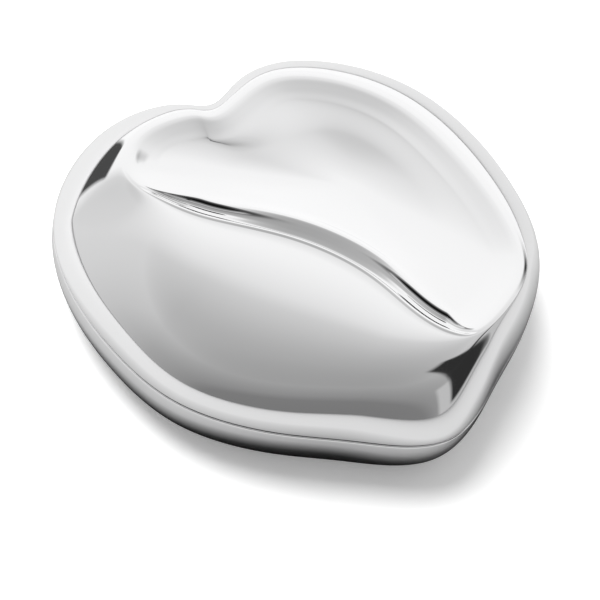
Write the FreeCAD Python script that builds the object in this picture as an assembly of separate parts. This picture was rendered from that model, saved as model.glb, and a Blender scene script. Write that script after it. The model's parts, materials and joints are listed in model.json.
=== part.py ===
import FreeCAD, Part
import math
import os
from FreeCAD import Vector

# Wind-up music box in a heart-shaped polished steel case. Millimetres.
# Origin: middle of the resting face. +Y points to the heart's cleft, -Y to its tip, +Z up.

# ---- Case: driving sizes ----
GIRTH_Z = 18.0          # height of the widest outline, where lid and base meet
SEAM_GAP = 0.4          # open line between lid and base
CREST_Z = 37.0          # top of the lid's raised rim
PAD_T = 0.8             # felt pad under the base
WALL = 1.9              # wall at the seam
SKIN = 1.6              # floor and top skins
BOTTOM_R = 15.0         # height over which the base curves in under the girth
BOTTOM_PULL = 0.20      # share by which the outline shrinks at the base's underside
WALL_POWER_FAR = 1.4    # the lid's wall is a quarter of a superellipse, fuller on the near side
WALL_POWER_NEAR = 2.2
NEAR_STATIONS = (8.0, 11.0, 13.5, 15.8)     # where along the outline the fuller wall fades in and out
LID_LEVELS = 8
BASE_LEVELS = 5

# Right half of the girth outline, cleft to tip; the left half mirrors it.
GIRTH_HALF = [(0, 54), (12, 59.3), (29, 59.5), (45.5, 50.3), (57, 36), (62.3, 17.5), (62, -2.8),
              (55.5, -24.3), (39.5, -41.5), (22, -53), (0, -63)]
# Crest of the lid, one point for each girth point, clockwise from the cleft. It follows the
# heart on the far side and the S-shaped ridge on the near side.
CREST = [(-7.1, 41.9), (4.9, 46), (17.4, 45.8), (30.4, 37.7), (39.7, 24.6), (43.7, 9.4), (44.7, -6.6),
         (43.4, -22.6), (37.9, -36.6), (24.9, -45.6), (10.9, -48.1), (2.9, -36.6), (-1.6, -20.6),
         (-13.1, -3.1), (-29.1, 11.4), (-37.1, 22.4), (-40.1, 33.4), (-31.6, 43.2), (-19.1, 45.2),
         (-12.1, 43.4)]
DISH_CENTRE = (13, 7.5)
# Dish in the lid's top: (share of the way from crest to centre, height above its floor)
DISH_STEPS = [(0.05, 3.7), (0.10, 2.6), (0.17, 1.3), (0.28, 0.3), (0.36, 0.0)]
DISH_FLOOR_Z = 33.6
# S-shaped groove behind the ridge, clockwise: near edge from the tip, then back along the far edge.
GROOVE = [(12.9, -45.6), (6.9, -39.6), (1.9, -27.6), (-3.1, -14.6), (-10.6, -4.1), (-19.1, 5.4),
          (-28.1, 13.9), (-35.1, 24.4), (-33.1, 25.4), (-24.1, 16.4), (-15.1, 8.4), (-7.1, -2.6),
          (-1.1, -14.6), (4.9, -26.6), (9.9, -37.1), (15.4, -43.6)]
GROOVE_FLOOR_Z = 31.4
GROOVE_SKIN = 1.2

# ---- Hinge, on the far side of the right lobe ----
HINGE_ANGLE = 45.0      # direction of the hinge from the middle, from +X
HINGE_OUT = 2.4         # pin axis outside the girth
HINGE_DROP = 7.0        # pin axis below the seam, so that the barrel lies under the lid's edge
STRAP_Y = (-2.0, -0.6)
KNUCKLE_R = 2.2
HINGE_HALF = 8.0
LID_KNUCKLE_HALF = 2.9
KNUCKLE_GAP = 0.2
HINGE_PIN_R = 0.8
LEAF_IN = 9.0           # how far the leaves reach in from the pin axis
LEAF_T = 1.6
LEAF_SCREW_X = 5.5
LEAF_SCREW_Y = -6.5
LEAF_SCREW_R = 0.7
BOSS_T = 2.7            # thickening of the shells behind each leaf
HINGE_SIDES = (-LEAF_SCREW_X, LEAF_SCREW_X)
RUN = 0.05              # radial clearance of a running fit

# ---- Movement: driving sizes, its own u, v, z axes with the winding arbor at u = v = 0 ----
ARBOR_X = 12.0
ARBOR_Y = -12.0
BED_Z = 10.5
BED_T = 1.8
BED_TOP = BED_Z + BED_T
AXIS_Z = BED_TOP + 7.8  # height of the cylinder's shaft
BED_U = (-16.0, 41.5)
BED_V = (-20.8, 20.8)
ARBOR_R = 1.5
HOUSING_R = 11.5
HOUSING_TOP = 23.6
HOUSING_WALL = 0.8
EAR_SCREW_V = HOUSING_R + 2.8
SPRING_TURNS = 8
SPRING_HALF_T = 0.15
SPRING_HEIGHT = 8.0
DRIVE_TEETH = 40
DRIVE_PINION_TEETH = 10
DRIVE_R = 13.3          # pitch radius of the crown teeth
DRIVE_PINION_R = DRIVE_R * DRIVE_PINION_TEETH / DRIVE_TEETH
DRIVE_DISC_Z = AXIS_Z + 4.2
DRIVE_DISC_T = 1.2
TRAIN_MODULE = 0.45
TRAIN_TEETH = 32
TRAIN_PINION_TEETH = 8
TRAIN_R = TRAIN_MODULE * TRAIN_TEETH / 2
TRAIN_PINION_R = TRAIN_MODULE * TRAIN_PINION_TEETH / 2
GOVERNOR_V = TRAIN_R + TRAIN_PINION_R
WORM_WHEEL_TEETH = 20
WORM_WHEEL_R = TRAIN_MODULE * WORM_WHEEL_TEETH / 2
WORM_PITCH = math.pi * TRAIN_MODULE
WORM_R = 1.4
WORM_CORE_R = 0.8
WORM_TIP_R = 1.8
WORM_V = GOVERNOR_V + WORM_WHEEL_R + WORM_R
SHAFT_R = 0.75
PIN_TRACKS = 18
PINS_PER_TRACK = 4
CYL_U = (16.4, 33.4)    # pinned cylinder, end to end
CYL_R = 6.2
PIN_TIP_R = 7.0
PIN_R = 0.2
COMB_TIP_V = -7.15
COMB_T = 0.8
COMB_SLOT = 0.24
COMB_SCREW_U = (19.4, 24.9, 30.4)
COMB_SCREW_V = -18.2
POST_INNER_U = (14.8, 15.8)     # bearing plates and wheels, along the cylinder's axis
TRAIN_U = (33.9, 35.1)
POST_OUTER_U = (35.6, 36.6)
WORM_WHEEL_U = (37.2, 38.4)
POST_GOVERNOR_U = (39.2, 40.2)
WORM_U = 37.8
GOVERNOR_SHAFT_R = 0.5
PIVOT_R = 0.3
BRACKET_U = (36.0, 39.6)
BRACKET_V = 19.6
BRACKET_Z = (24.5, 25.7)
FAN_R = 4.2
BRAKE_DISC_R = 1.6
SCREW_R = 0.8
MOUNT_POSTS_UV = [(38.0, -14.0), (38.0, 7.0)]
MOUNT_WELL_UV = (-11.5, 0.0)

# ---- Key, plunger, tray and cover ----
KEY_Z = (1.6, 7.6)
WELL_R = 17.0
WELL_SKIN = 1.5
KEY_HALF = 12.0
KEY_T = 2.0
PLUNGER = (0.0, 35.5)
PLUNGER_R = 1.0
PLUNGER_TOP = 28.8
GUIDE_R = 3.0
DECK_Z = 13.6
DECK_T = 1.4
DECK_SCALE = 0.945
PAN_X = -13.5           # the compartment lies left of this
COVER_U = (-17.0, 43.0)
COVER_V = (-22.2, 22.2)
COVER_TOP = 28.6
COVER_T = 0.8
LINER_Z = 29.0
LINER_T = 0.8

UP = Vector(0, 0, 1)
ORIGIN = Vector(0, 0, 0)
NODES = {}


# ---- Small helpers ----
def girth_points():
    """Heart outline, clockwise from the cleft, as one point per station."""
    left = [(-x, y) for x, y in reversed(GIRTH_HALF[1:-1])]
    return GIRTH_HALF + left


GIRTH = girth_points()


def loop_wire(points, z):
    """Closed smooth wire through flat points at one height."""
    curve = Part.BSplineCurve()
    curve.interpolate(Points=[Vector(x, y, z) for x, y in points], PeriodicFlag=True)
    return Part.Wire([curve.toShape()])


def loop_prism(points, low, high):
    return Part.Face(loop_wire(points, low)).extrude(Vector(0, 0, high - low))


def loft(sections):
    """Solid through (points, height) sections."""
    return Part.makeLoft([loop_wire(points, z) for points, z in sections], True, False)


def scaled(points, factor, centre=(0, 0)):
    cx, cy = centre
    return [(cx + (x - cx) * factor, cy + (y - cy) * factor) for x, y in points]


def inset(points, distance):
    """Clockwise outline moved inwards by a distance, station by station."""
    moved = []
    count = len(points)
    for i, (x, y) in enumerate(points):
        before = points[i - 1]
        after = points[(i + 1) % count]
        dx = after[0] - before[0]
        dy = after[1] - before[1]
        length = math.hypot(dx, dy)
        moved.append((x + dy / length * distance, y - dx / length * distance))
    return moved


def box(x, y, z):
    """Box between pairs of limits."""
    return Part.makeBox(x[1] - x[0], y[1] - y[0], z[1] - z[0], Vector(x[0], y[0], z[0]))


def rod(radius, low, high, x=0.0, y=0.0):
    return Part.makeCylinder(radius, high - low, Vector(x, y, low))


def rod_u(radius, low, high, v=0.0, z=AXIS_Z):
    """Cylinder along the first axis."""
    return Part.makeCylinder(radius, high - low, Vector(low, v, z), Vector(1, 0, 0))


def rounded_box(x, y, z, radius):
    body = box(x, y, z)
    upright = [e for e in body.Edges if abs(e.tangentAt(e.FirstParameter).z) > 0.9]
    return body.makeFillet(radius, upright)


def toothed_disc(teeth, tip_r, root_r, tip_w, root_w, width, phase):
    """Straight-flanked gear along +Z; phase is the angle of one tooth in degrees."""
    corners = []
    for k in range(teeth):
        middle = math.radians(phase + 360.0 * k / teeth)
        for radius, offset in ((root_r, -root_w), (tip_r, -tip_w), (tip_r, tip_w), (root_r, root_w)):
            angle = middle + offset / 2 / radius
            corners.append(Vector(radius * math.cos(angle), radius * math.sin(angle), 0))
    corners.append(corners[0])
    return Part.Face(Part.makePolygon(corners)).extrude(Vector(0, 0, width))


def along_u(shape, u, v, z):
    """Turn a shape built along +Z so that it lies along +u, then place it."""
    shape.rotate(ORIGIN, Vector(0, 1, 0), 90)
    shape.translate(Vector(u, v, z))
    return shape


def coil(wire_r, mean_r, pitch, turns, z):
    """Round wire wound in a helix about the Z axis."""
    path = Part.makeHelix(pitch, pitch * turns, mean_r)
    profile = Part.Wire([Part.makeCircle(wire_r, Vector(mean_r, 0, 0), Vector(0, 1, 0))])
    body = Part.Wire(path.Edges).makePipeShell([profile], True, True)
    body.translate(Vector(0, 0, z))
    return body


def screw(x, y, head_z, tip_z, head_r, shank_r, head_t):
    """Slotted screw whose outer head face is at head_z and whose shank ends at tip_z."""
    way = 1 if tip_z > head_z else -1
    head_in = head_z + way * head_t
    head = rod(head_r, min(head_z, head_in), max(head_z, head_in), x, y)
    shank = rod(shank_r, min(head_in, tip_z), max(head_in, tip_z), x, y)
    slot_end = head_z + way * head_t * 0.4
    slot = box((x - head_r, x + head_r), (y - head_r * 0.15, y + head_r * 0.15),
               (min(head_z, slot_end), max(head_z, slot_end)))
    return head.fuse(shank).removeSplitter().cut(slot)


def in_movement(shape):
    """Place a shape built on the movement's axes in the case."""
    shape.rotate(ORIGIN, UP, 90)
    shape.translate(Vector(ARBOR_X, ARBOR_Y, 0))
    return shape


def movement_point(u, v):
    return ARBOR_X - v, ARBOR_Y + u


def farthest_girth(angle):
    """The girth's outermost point in one direction, and that direction."""
    way = Vector(math.cos(math.radians(angle)), math.sin(math.radians(angle)), 0)
    outline = loop_wire(GIRTH, 0).discretize(800)
    return max(outline, key=lambda p: p.dot(way)), way


HINGE_POINT, HINGE_WAY = farthest_girth(HINGE_ANGLE)


def in_hinge(shape):
    """Place a shape built on the hinge's axes: X along the pin, Y outwards, Z up from the pin."""
    shape.rotate(ORIGIN, UP, HINGE_ANGLE - 90)
    shape.translate(HINGE_POINT + HINGE_WAY * HINGE_OUT + Vector(0, 0, GIRTH_Z - HINGE_DROP))
    return shape


def add(name, *shapes):
    NODES[name] = shapes[0] if len(shapes) == 1 else Part.makeCompound(list(shapes))


# ---- Case ----
def fade(x, low, high):
    share = min(1.0, max(0.0, (x - low) / (high - low)))
    return share * share * (3 - 2 * share)


def wall_power(station):
    """Power of the wall's superellipse at one station of the outline."""
    rise, top, end, gone = NEAR_STATIONS
    near = fade(station, rise, top) * (1 - fade(station, end, gone))
    return WALL_POWER_FAR + (WALL_POWER_NEAR - WALL_POWER_FAR) * near


def wall_outline(level):
    """Outline of the lid at one share of its rise from the girth to the crest."""
    points = []
    for station, (low, high) in enumerate(zip(GIRTH, CREST)):
        power = wall_power(station)
        share = 1 - (1 - level ** power) ** (1 / power)
        points.append((low[0] + (high[0] - low[0]) * share, low[1] + (high[1] - low[1]) * share))
    return points


def lid_sections(depth, skin):
    """Sections of the lid from the seam to the crest, inset by depth and lowered by skin."""
    sections = []
    for k in range(LID_LEVELS):
        level = math.sin(math.pi / 2 * k / (LID_LEVELS - 1))
        outline = wall_outline(level)
        height = GIRTH_Z + (CREST_Z - skin - GIRTH_Z) * level
        sections.append((inset(outline, depth) if depth else outline, height))
    return sections


def dish(grow, drop):
    """Tool for the dish; grow and drop make the skin beneath it."""
    return loft([(scaled(CREST, 1 - share + grow, DISH_CENTRE), DISH_FLOOR_Z - drop + rise)
                 for share, rise in DISH_STEPS])


def hinge_boss(low, high):
    return in_hinge(box((-HINGE_HALF, HINGE_HALF), (-LEAF_IN - 1, -HINGE_OUT - 3.2), (low, high)))


def leaf_slot(low, high):
    return in_hinge(box((-HINGE_HALF, HINGE_HALF), (-LEAF_IN, 1), (low, high)))


def lid_shell():
    seam = GIRTH_Z + SEAM_GAP / 2
    outer = loft(lid_sections(0, 0))
    cavity = loft(lid_sections(WALL, SKIN))
    pan = dish(0.03, SKIN)
    trough = loop_prism(inset(GROOVE, -GROOVE_SKIN), GROOVE_FLOOR_Z - GROOVE_SKIN, DISH_FLOOR_Z)
    body = outer.cut(cavity).fuse(pan).fuse(trough).cut(dish(0, 0))
    body = body.cut(loop_prism(GROOVE, GROOVE_FLOOR_Z, CREST_Z + 1))
    leaf_top = HINGE_DROP + SEAM_GAP / 2 + LEAF_T
    body = body.fuse(hinge_boss(leaf_top, leaf_top + BOSS_T)).cut(leaf_slot(HINGE_DROP, leaf_top))
    body = body.cut(box((-80, 80), (-80, 80), (0, seam)))
    for x in HINGE_SIDES:
        body = body.cut(in_hinge(rod(LEAF_SCREW_R, HINGE_DROP, HINGE_DROP + 4.0, x, LEAF_SCREW_Y)))
    return max(body.Solids, key=lambda s: s.Volume)


def base_sections(shrink, lift):
    """Sections of the base from its underside to the girth."""
    sections = []
    for k in range(BASE_LEVELS):
        turn = math.pi / 2 * k / (BASE_LEVELS - 1)
        factor = 1 - BOTTOM_PULL * (1 - math.sin(turn)) - shrink
        sections.append((scaled(GIRTH, factor), PAD_T + lift + BOTTOM_R * (1 - math.cos(turn))))
    sections.append((scaled(GIRTH, 1 - shrink), GIRTH_Z + lift))
    return sections


def base_shell():
    seam = GIRTH_Z - SEAM_GAP / 2
    well_roof = BED_Z - WELL_SKIN
    body = loft(base_sections(0, 0)).cut(loft(base_sections(0.03, SKIN)))
    body = body.cut(box((-80, 80), (-80, 80), (seam, 40)))
    body = body.fuse(rod(WELL_R, PAD_T, BED_Z, ARBOR_X, ARBOR_Y))
    body = body.cut(rod(WELL_R - WELL_SKIN, 0, well_roof, ARBOR_X, ARBOR_Y))
    body = body.cut(rod(ARBOR_R + 0.6, 0, BED_Z + 1, ARBOR_X, ARBOR_Y))
    body = body.cut(rod(1.05, well_roof - 1, BED_Z + 1, *movement_point(*MOUNT_WELL_UV)))
    for place in MOUNT_POSTS_UV:
        x, y = movement_point(*place)
        body = body.fuse(rod(3.6, PAD_T, BED_Z, x, y))
        body = body.cut(rod(2.3, 0, 6.0, x, y)).cut(rod(1.05, 5.0, BED_Z + 1, x, y))
    leaf_low = -SEAM_GAP / 2 - LEAF_T
    body = body.fuse(hinge_boss(leaf_low - BOSS_T, leaf_low)).cut(leaf_slot(leaf_low, 1))
    for x in HINGE_SIDES:
        body = body.cut(in_hinge(rod(LEAF_SCREW_R, -4.0, 0, x, LEAF_SCREW_Y)))
    return max(body.Solids, key=lambda s: s.Volume)


def case():
    add("lid_shell", lid_shell())
    add("base_shell", base_shell())
    pad = loop_prism(scaled(GIRTH, 0.98 - BOTTOM_PULL), 0, PAD_T)
    add("felt_base_pad", pad.cut(rod(WELL_R - WELL_SKIN, -1, 2, ARBOR_X, ARBOR_Y)))
    rim = scaled(GIRTH, 0.985)
    low = GIRTH_Z - SEAM_GAP / 2
    dots = [rod(0.6, low, low + SEAM_GAP, *rim[i]) for i in (2, 7, 10, 13, 17)]
    add("rim_bumpers", *dots)


# ---- Hinge ----
def knuckle(low, high, bore):
    outer = Part.makeCylinder(KNUCKLE_R, high - low, Vector(low, 0, 0), Vector(1, 0, 0))
    return outer.cut(Part.makeCylinder(bore, high - low, Vector(low, 0, 0), Vector(1, 0, 0)))


def leaf(low, spans, bore, strap_foot):
    """Flat leaf whose arms reach out, and down to strap_foot, to knuckles on stretches of the pin."""
    high = low + LEAF_T
    body = box((-HINGE_HALF, HINGE_HALF), (-LEAF_IN, -KNUCKLE_R - 0.4), (low, high))
    for start, end in spans:
        body = body.fuse(box((start, end), (-KNUCKLE_R - 0.4, STRAP_Y[1]), (low, high)))
        body = body.fuse(box((start, end), STRAP_Y, (strap_foot, high)))
        body = body.cut(Part.makeCylinder(bore, end - start, Vector(start, 0, 0), Vector(1, 0, 0)))
        body = body.fuse(knuckle(start, end, bore))
    return body.removeSplitter()


def leaf_holes(body, low, head_z):
    """Screw holes through a leaf, sunk where the heads lie."""
    for x in HINGE_SIDES:
        body = body.cut(rod(LEAF_SCREW_R, low - 1, low + LEAF_T + 1, x, LEAF_SCREW_Y))
        body = body.cut(rod(1.3, head_z - 0.8, head_z + 0.8, x, LEAF_SCREW_Y))
    return body


def hinge():
    outer = LID_KNUCKLE_HALF + KNUCKLE_GAP
    middle = [(-LID_KNUCKLE_HALF, LID_KNUCKLE_HALF)]
    ends = [(-HINGE_HALF, -outer), (outer, HINGE_HALF)]
    lid_low = HINGE_DROP + SEAM_GAP / 2
    base_high = -SEAM_GAP / 2
    lid_leaf = leaf(lid_low, middle, HINGE_PIN_R + RUN, 0)
    base_leaf = leaf(base_high - LEAF_T, ends, HINGE_PIN_R, base_high - LEAF_T)
    add("hinge_leaf_lid", in_hinge(leaf_holes(lid_leaf, lid_low, lid_low)))
    add("hinge_leaf_base", in_hinge(leaf_holes(base_leaf, base_high - LEAF_T, base_high)))
    pin = Part.makeCylinder(HINGE_PIN_R, 2 * HINGE_HALF, Vector(-HINGE_HALF, 0, 0), Vector(1, 0, 0))
    for start in (-HINGE_HALF - 0.7, HINGE_HALF):
        pin = pin.fuse(Part.makeCylinder(1.4, 0.7, Vector(start, 0, 0), Vector(1, 0, 0)))
    add("hinge_pin", in_hinge(pin.removeSplitter()))
    for name, head, way in (("hinge_screws_lid", lid_low, 1), ("hinge_screws_base", base_high, -1)):
        screws = [screw(x, LEAF_SCREW_Y, head, head + way * 3.8, 1.3, LEAF_SCREW_R, 0.8) for x in HINGE_SIDES]
        add(name, *[in_hinge(body) for body in screws])


# ---- Movement frame ----
def bedplate():
    body = rounded_box(BED_U, BED_V, (BED_Z, BED_TOP), 3.0)
    body = body.cut(rod(ARBOR_R + RUN, BED_Z - 1, BED_TOP + 1))
    for u, v in [MOUNT_WELL_UV] + MOUNT_POSTS_UV:
        body = body.cut(rod(SCREW_R, BED_Z - 1, BED_TOP + 1, u, v))
    for side in (-1, 1):
        body = body.cut(rod(SCREW_R, BED_Z + 0.2, BED_TOP + 1, 0, side * EAR_SCREW_V))
    return body.cut(rod(PIVOT_R + RUN, BED_TOP - 0.8, BED_TOP + 1, WORM_U, WORM_V))


def bearing_post(u, v, holes):
    """Upright bearing plate on the bedplate; holes are (v, radius) on the shaft height."""
    body = box(u, v, (BED_TOP, AXIS_Z + 2.4))
    top = [e for e in body.Edges if abs(e.tangentAt(e.FirstParameter).x) > 0.9 and e.BoundBox.ZMin > AXIS_Z]
    body = body.makeFillet(1.2, top)
    for hole_v, radius in holes:
        body = body.cut(rod_u(radius, u[0] - 1, u[1] + 1, hole_v))
    return body


def governor_frame():
    """C-shaped bracket that holds the top pivot of the worm shaft."""
    back = (BRACKET_V, BED_V[1])
    foot = box((BRACKET_U[0] - 1.4, BRACKET_U[1] + 1.4), back, (BED_TOP, BED_TOP + 1.0))
    column = box(BRACKET_U, back, (BED_TOP, BRACKET_Z[1]))
    arm = box(BRACKET_U, (WORM_V - 1.8, BED_V[1]), BRACKET_Z)
    body = foot.fuse(column).fuse(arm).removeSplitter()
    return body.cut(rod(PIVOT_R + RUN, BRACKET_Z[0] - 1, BRACKET_Z[1] + 1, WORM_U, WORM_V))


def movement_frame():
    add("bedplate", in_movement(bedplate()))
    main = (0, SHAFT_R + RUN)
    fast = (GOVERNOR_V, GOVERNOR_SHAFT_R + RUN)
    inner = bearing_post(POST_INNER_U, (-3.5, 3.5), [main])
    outer = bearing_post(POST_OUTER_U, (-3.0, GOVERNOR_V + 1.4), [main, fast])
    last = bearing_post(POST_GOVERNOR_U, (GOVERNOR_V - 3.0, GOVERNOR_V + 1.4), [fast])
    add("cylinder_bearing_inner", in_movement(inner))
    add("cylinder_bearing_outer", in_movement(outer))
    add("governor_bearing", in_movement(last))
    add("governor_frame", in_movement(governor_frame()))
    screws = [screw(*movement_point(*MOUNT_WELL_UV), BED_Z - WELL_SKIN - 1.2, BED_TOP, 2.0, SCREW_R, 1.2)]
    for place in MOUNT_POSTS_UV:
        screws.append(screw(*movement_point(*place), 4.6, BED_TOP, 2.0, SCREW_R, 1.4))
    add("movement_screws", *screws)


# ---- Spring drive ----
def spring_strip():
    """Mainspring: a flat strip wound in an even spiral, as one outline drawn up to its height."""
    first_r = 2.6 + SPRING_HALF_T
    last_r = HOUSING_R - 1.2 - SPRING_HALF_T
    steps = SPRING_TURNS * 24
    sides = []
    for offset in (SPRING_HALF_T, -SPRING_HALF_T):
        side = []
        for k in range(steps + 1):
            share = k / steps
            radius = first_r + (last_r - first_r) * share + offset
            angle = 2 * math.pi * SPRING_TURNS * share
            side.append(Vector(radius * math.cos(angle), radius * math.sin(angle), 0))
        sides.append(side)
    edges = []
    for side in sides:
        curve = Part.BSplineCurve()
        curve.interpolate(side)
        edges.append(curve.toShape())
    for index in (0, -1):
        edges.append(Part.makeLine(sides[0][index], sides[1][index]))
    strip = Part.Face(Part.Wire(Part.__sortEdges__(edges))).extrude(Vector(0, 0, SPRING_HEIGHT))
    strip.translate(Vector(0, 0, BED_TOP + 1.2))
    return strip


def spring_housing():
    body = rod(HOUSING_R, BED_TOP, HOUSING_TOP)
    ears = box((-3, 3), (-EAR_SCREW_V - 2.2, EAR_SCREW_V + 2.2), (BED_TOP, BED_TOP + 1.2))
    body = body.fuse(ears).cut(rod(HOUSING_R - HOUSING_WALL, BED_TOP, HOUSING_TOP - HOUSING_WALL))
    body = body.cut(rod(ARBOR_R + RUN, BED_TOP, HOUSING_TOP + 1))
    for side in (-1, 1):
        body = body.cut(rod(SCREW_R, BED_TOP - 1, BED_TOP + 2, 0, side * EAR_SCREW_V))
    return body


def winding_arbor():
    shaft = rod(ARBOR_R, 3.0, 27.2)
    hub = rod(2.3, BED_TOP + 0.6, HOUSING_TOP - 1.2)
    return shaft.fuse(hub).removeSplitter()


def winding_key():
    """Butterfly key: a threaded boss with two pierced wings."""
    boss = rod(3.0, KEY_Z[0] + 0.8, KEY_Z[1] + 1.0)
    wing = box((-KEY_HALF, KEY_HALF), (-KEY_T / 2, KEY_T / 2), KEY_Z)
    corners = [e for e in wing.Edges if abs(e.tangentAt(e.FirstParameter).y) > 0.9]
    wing = wing.makeFillet(2.8, corners)
    body = boss.fuse(wing)
    for side in (-1, 1):
        start = Vector(side * 7.6, -KEY_T, (KEY_Z[0] + KEY_Z[1]) / 2)
        hole = Part.makeCylinder(1.6, 2 * KEY_T, start, Vector(0, 1, 0))
        body = body.cut(hole)
    return body.cut(rod(ARBOR_R, 3.0, 9.0))


def drive_wheel():
    """Crown wheel on the winding arbor; its teeth point down to the cylinder's pinion."""
    body = rod(DRIVE_R + 0.9, DRIVE_DISC_Z, DRIVE_DISC_Z + DRIVE_DISC_T)
    step = 360.0 / DRIVE_TEETH
    teeth = []
    for k in range(DRIVE_TEETH):
        tooth = box((DRIVE_R - 0.9, DRIVE_R + 0.85), (-0.37, 0.37), (AXIS_Z + 2.7, DRIVE_DISC_Z + 0.2))
        tooth.rotate(ORIGIN, UP, step * (k + 0.5))
        teeth.append(tooth)
    body = body.multiFuse(teeth)
    for k in range(5):
        window = rod(2.6, DRIVE_DISC_Z - 1, DRIVE_DISC_Z + 2, 7.4, 0)
        window.rotate(ORIGIN, UP, 72 * k)
        body = body.cut(window)
    return body.cut(rod(ARBOR_R + RUN, DRIVE_DISC_Z - 1, DRIVE_DISC_Z + 2))


def spring_drive():
    add("spring_housing", in_movement(spring_housing()))
    screws = [screw(0, side * EAR_SCREW_V, BED_TOP + 2.2, BED_Z + 0.2, 1.4, SCREW_R, 1.0) for side in (-1, 1)]
    add("housing_screws", *[in_movement(body) for body in screws])
    add("mainspring", in_movement(spring_strip()))
    add("winding_arbor", in_movement(winding_arbor()))
    add("winding_key", in_movement(winding_key()))
    add("drive_wheel", in_movement(drive_wheel()))
    clutch = coil(0.2, ARBOR_R + 0.3, 0.45, 2.2, DRIVE_DISC_Z + DRIVE_DISC_T + 0.25)
    add("clutch_spring", in_movement(clutch))


# ---- Pinned cylinder and comb ----
def pinned_cylinder():
    low, high = CYL_U
    tube = rod_u(CYL_R, low, high).cut(rod_u(CYL_R - 0.6, low - 1, high + 1))
    add("cylinder_barrel", in_movement(tube))
    caps = []
    for start in (low, high - 0.8):
        cap = rod_u(CYL_R - 0.6, start, start + 0.8).cut(rod_u(SHAFT_R, start - 1, start + 2))
        caps.append(in_movement(cap))
    add("cylinder_end_caps", *caps)
    add("cylinder_shaft", in_movement(rod_u(SHAFT_R, 12.2, 37.0)))
    pins = []
    track = comb_pitch()
    for row in range(PIN_TRACKS):
        for k in range(PINS_PER_TRACK):
            turn = math.radians(row * 137.5 + k * 360.0 / PINS_PER_TRACK + 17 * ((row * k) % 4))
            centre = Vector(low + 0.5 + track * (row + 0.5), 0, AXIS_Z)
            way = Vector(0, math.cos(turn), math.sin(turn))
            root = centre + way * (CYL_R - 0.2)
            pins.append(in_movement(Part.makeCylinder(PIN_R, PIN_TIP_R - CYL_R + 0.2, root, way)))
    add("cylinder_pins", *pins)


def comb_pitch():
    return (CYL_U[1] - CYL_U[0] - 1.0) / PIN_TRACKS


def comb():
    """Steel comb: one plate cut into teeth that grow longer towards the low notes."""
    low = CYL_U[0] + 0.5
    high = CYL_U[1] - 0.5
    body = box((low, high), (-20.3, COMB_TIP_V), (AXIS_Z - COMB_T / 2, AXIS_Z + COMB_T / 2))
    pitch = comb_pitch()
    for k in range(1, PIN_TRACKS):
        length = 8.2 - 3.4 * k / PIN_TRACKS
        middle = low + pitch * k
        body = body.cut(box((middle - COMB_SLOT / 2, middle + COMB_SLOT / 2),
                            (COMB_TIP_V - length, COMB_TIP_V + 1), (AXIS_Z - 1, AXIS_Z + 1)))
    for u in COMB_SCREW_U:
        body = body.cut(rod(SCREW_R, AXIS_Z - 1, AXIS_Z + 1, u, COMB_SCREW_V))
    return body


def comb_support():
    body = box((15.6, 34.2), (-20.6, -16.0), (BED_TOP, AXIS_Z - COMB_T / 2))
    for u in COMB_SCREW_U:
        body = body.cut(rod(SCREW_R, AXIS_Z - 5, AXIS_Z, u, COMB_SCREW_V))
    return body


def sound():
    pinned_cylinder()
    add("comb", in_movement(comb()))
    add("comb_support", in_movement(comb_support()))
    top = AXIS_Z + COMB_T / 2
    screws = [screw(u, COMB_SCREW_V, top + 1.0, top - 4.5, 1.4, SCREW_R, 1.0) for u in COMB_SCREW_U]
    add("comb_screws", *[in_movement(body) for body in screws])


# ---- Gear train and air brake ----
def cylinder_pinion():
    """Pinion under the crown wheel's teeth, one tooth pointing up."""
    body = toothed_disc(DRIVE_PINION_TEETH, DRIVE_PINION_R + 0.5, DRIVE_PINION_R - 0.75, 0.42, 0.95, 1.7, 180)
    return along_u(body.cut(rod(SHAFT_R, -1, 4)), DRIVE_R - 0.8, 0, AXIS_Z)


def train_gear(teeth, pitch_r, bore, width, phase):
    body = toothed_disc(teeth, pitch_r + 0.35, pitch_r - 0.5, 0.3, 0.7, width, phase)
    return body.cut(rod(bore, -1, width + 1))


def worm_shaft():
    """Vertical shaft with a one-start worm; its thread meets a gap of the worm wheel."""
    path = Part.makeHelix(WORM_PITCH, 4 * WORM_PITCH, WORM_R)
    corners = [Vector(0.7, 0, -0.32), Vector(WORM_TIP_R, 0, -0.15), Vector(WORM_TIP_R, 0, 0.15),
               Vector(0.7, 0, 0.32), Vector(0.7, 0, -0.32)]
    thread = Part.Wire(path.Edges).makePipeShell([Part.makePolygon(corners)], True, True)
    thread.translate(Vector(0, 0, AXIS_Z - 2.25 * WORM_PITCH))
    body = rod(WORM_CORE_R, 16.4, BRACKET_Z[0] - 0.3).fuse(rod(0.5, BED_TOP + 0.1, 16.4))
    body = body.fuse(rod(PIVOT_R, BED_TOP - 0.6, BED_TOP + 0.1))
    body = body.fuse(rod(PIVOT_R, BRACKET_Z[0] - 0.3, BRACKET_Z[1] - 0.3)).fuse(thread)
    body.translate(Vector(WORM_U, WORM_V, 0))
    return body


def air_brake():
    """Two-bladed fan with a smooth disc that the stop wire rests against."""
    body = rod(1.0, 12.9, 16.3)
    body = body.fuse(box((-FAN_R, FAN_R), (-0.2, 0.2), (13.0, 15.2)))
    body = body.fuse(rod(BRAKE_DISC_R, 15.4, 16.0))
    body = body.cut(rod(0.5, 12, 17))
    body.translate(Vector(WORM_U, WORM_V, 0))
    return body


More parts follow.
